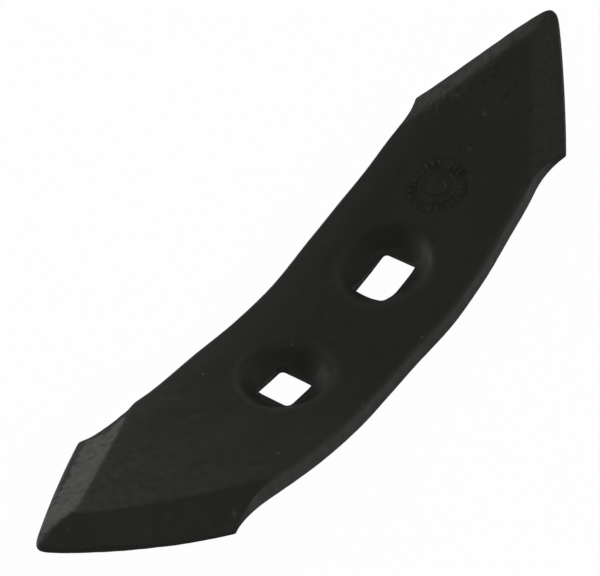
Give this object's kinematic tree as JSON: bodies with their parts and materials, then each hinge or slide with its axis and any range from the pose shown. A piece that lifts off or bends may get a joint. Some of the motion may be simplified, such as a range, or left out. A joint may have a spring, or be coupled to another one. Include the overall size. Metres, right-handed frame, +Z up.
{
  "type": "tine share",
  "caption": "Reversible cultivator tine share: a bowed forged bar with a bevelled spear point at each end and dished square holes for plough bolts.",
  "frame": {"origin": "under the middle of the bar, on the surface that its convex back rests on", "axes": "+X along the bar towards its end with the long hole, +Y across the bar, +Z up out of the hollow face"},
  "size_m": [0.2212, 0.0516, 0.0361],
  "materials": {
    "black_paint": "satin black paint over forged steel"
  },
  "bodies": {
    "root": {"tine_share": "black_paint"}
  },
  "joints": []
}
